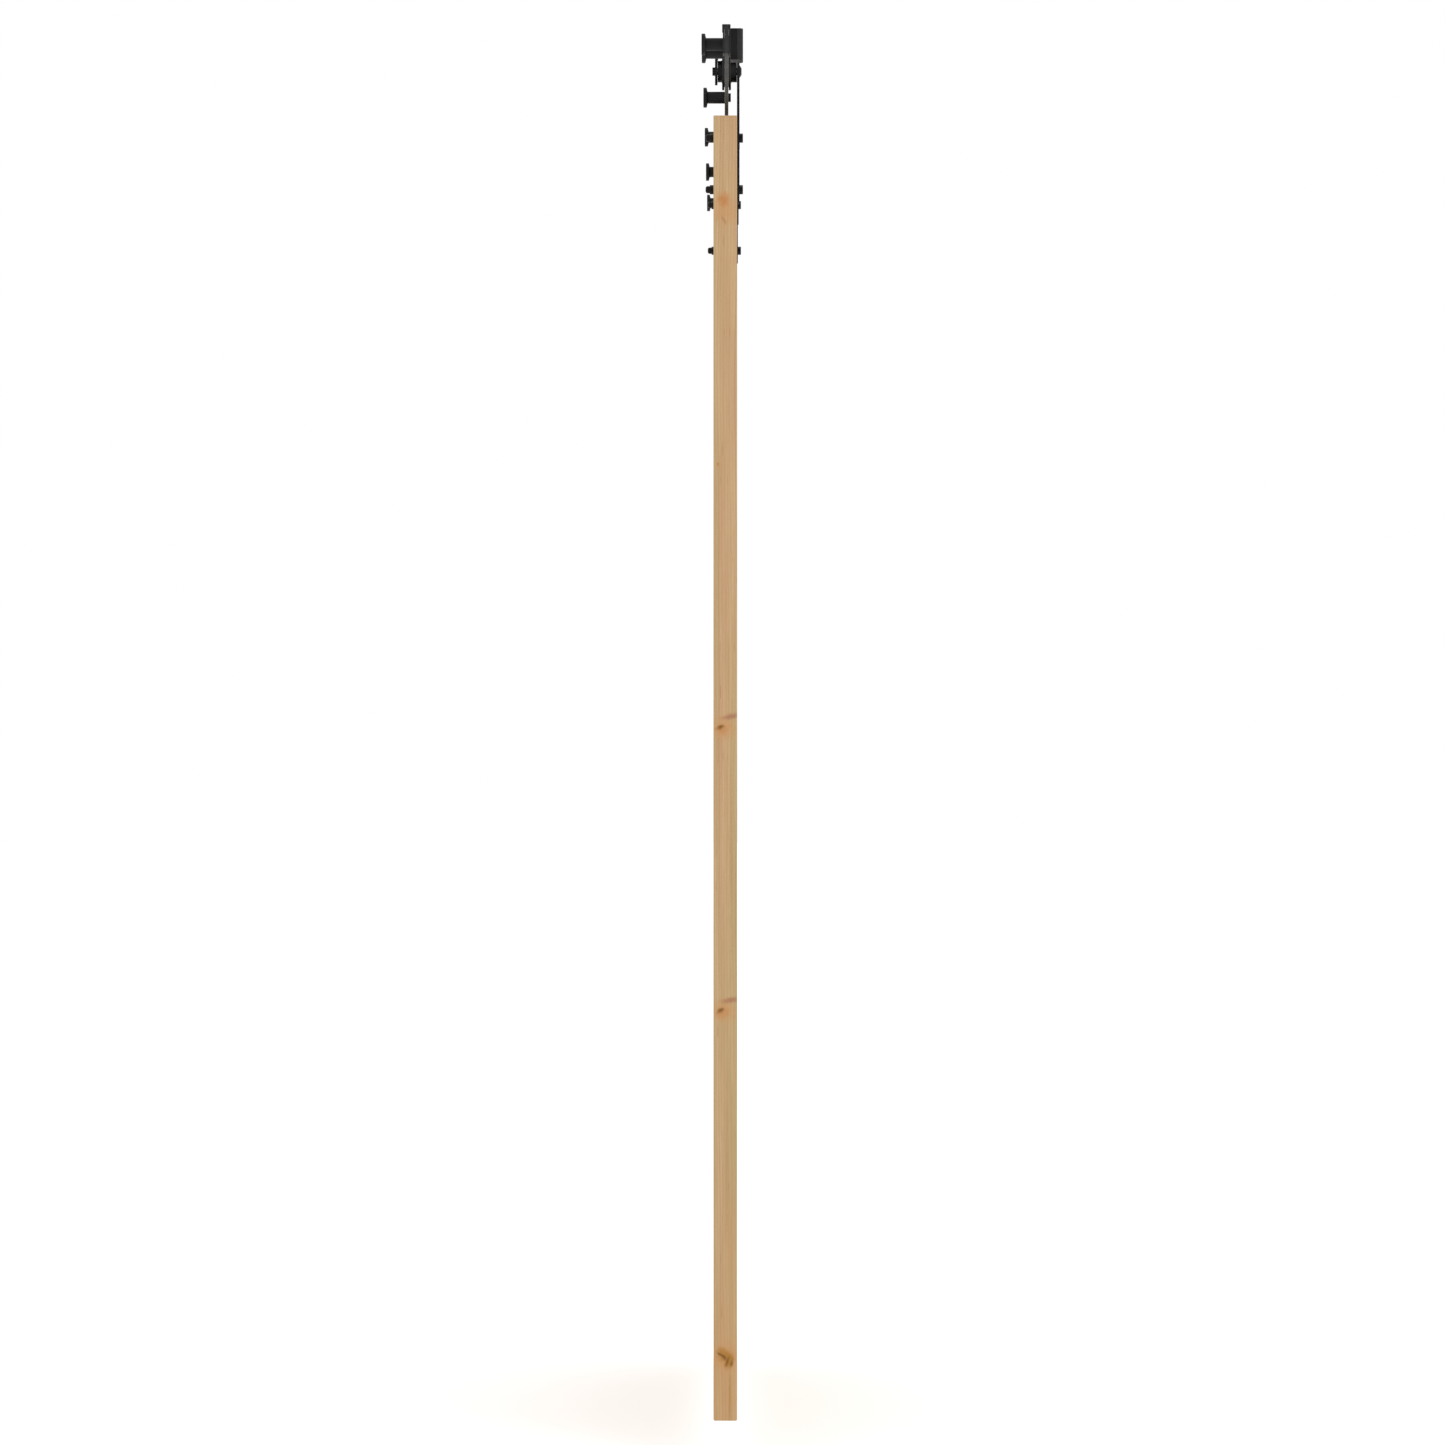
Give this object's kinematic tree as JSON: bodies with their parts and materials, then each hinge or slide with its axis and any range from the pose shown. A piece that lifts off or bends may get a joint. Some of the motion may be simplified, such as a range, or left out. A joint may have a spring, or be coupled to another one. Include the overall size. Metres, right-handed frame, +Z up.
{
  "type": "sliding barn door with flat track",
  "caption": "Framed pine door hung by bent straps and grooved wheels on a flat black steel track that stands off the wall between end stops.",
  "frame": {"origin": "centre of the wall face of the middle standoff, on the track's centre line", "axes": "+X along the track, +Y into the wall, +Z up; the door is on the room side, at -Y"},
  "size_m": [1.83, 0.0642, 2.2188],
  "materials": {
    "pine": "planed softwood, clear satin oil",
    "black_track": "fine-textured black powder coat on flat steel bar",
    "black_strap": "fine-textured black powder coat on bent steel strap",
    "black_standoff": "satin black coat on turned steel",
    "black_stop": "satin black coat on machined steel",
    "black_wheel": "satin black coat on turned steel, worn in the groove",
    "black_fastener": "black oxide",
    "bearing_steel": "ground bearing steel",
    "rubber": "moulded black rubber"
  },
  "bodies": {
    "track": {"track_rail": "black_track", "standoff_1": "black_standoff", "standoff_2": "black_standoff", "standoff_3": "black_standoff", "standoff_4": "black_standoff", "standoff_5": "black_standoff", "standoff_6": "black_standoff", "track_bolts": "black_fastener", "stop_clamp_left": "black_stop", "stop_block_left": "black_stop", "stop_bumper_left": "rubber", "stop_screws_left": "black_fastener", "stop_clamp_right": "black_stop", "stop_block_right": "black_stop", "stop_bumper_right": "rubber", "stop_screws_right": "black_fastener"},
    "door": {"door_stile_left": "pine", "door_stile_right": "pine", "door_rail_top": "pine", "door_rail_middle": "pine", "door_rail_bottom": "pine", "upper_board_1": "pine", "upper_board_2": "pine", "upper_board_3": "pine", "upper_board_4": "pine", "upper_board_5": "pine", "lower_board_1": "pine", "lower_board_2": "pine", "lower_board_3": "pine", "lower_board_4": "pine", "lower_board_5": "pine", "upper_brace": "pine", "lower_brace": "pine", "hanger_strap_left": "black_strap", "door_bolts_left": "black_fastener", "acorn_nuts_left": "black_fastener", "axle_bolt_left": "black_fastener", "axle_nut_left": "black_fastener", "axle_washers_left": "bearing_steel", "bearing_inner_races_left": "bearing_steel", "axle_sleeve_left": "bearing_steel", "hanger_strap_right": "black_strap", "door_bolts_right": "black_fastener", "acorn_nuts_right": "black_fastener", "axle_bolt_right": "black_fastener", "axle_nut_right": "black_fastener", "axle_washers_right": "bearing_steel", "bearing_inner_races_right": "bearing_steel", "axle_sleeve_right": "bearing_steel"},
    "wheel_left": {"wheel_left": "black_wheel", "bearing_outer_races_left": "bearing_steel", "bearing_balls_left": "bearing_steel"},
    "wheel_right": {"wheel_right": "black_wheel", "bearing_outer_races_right": "bearing_steel", "bearing_balls_right": "bearing_steel"}
  },
  "joints": [
    {"name": "door_slide", "type": "slide", "parent": "track", "child": "door", "axis": [1, 0, 0], "range_m": [-0.47, 0.47]},
    {"name": "wheel_left_spin", "type": "hinge", "parent": "door", "child": "wheel_left", "pos_m": [-0.39, -0.0375, 0.045], "axis": [0, 1, 0], "continuous": true},
    {"name": "wheel_right_spin", "type": "hinge", "parent": "door", "child": "wheel_right", "pos_m": [0.39, -0.0375, 0.045], "axis": [0, 1, 0], "continuous": true}
  ],
  "couplings": [
    {"joint": "wheel_left_spin", "follows": "door_slide", "rad_per_m": 40},
    {"joint": "wheel_right_spin", "follows": "door_slide", "rad_per_m": 40}
  ]
}
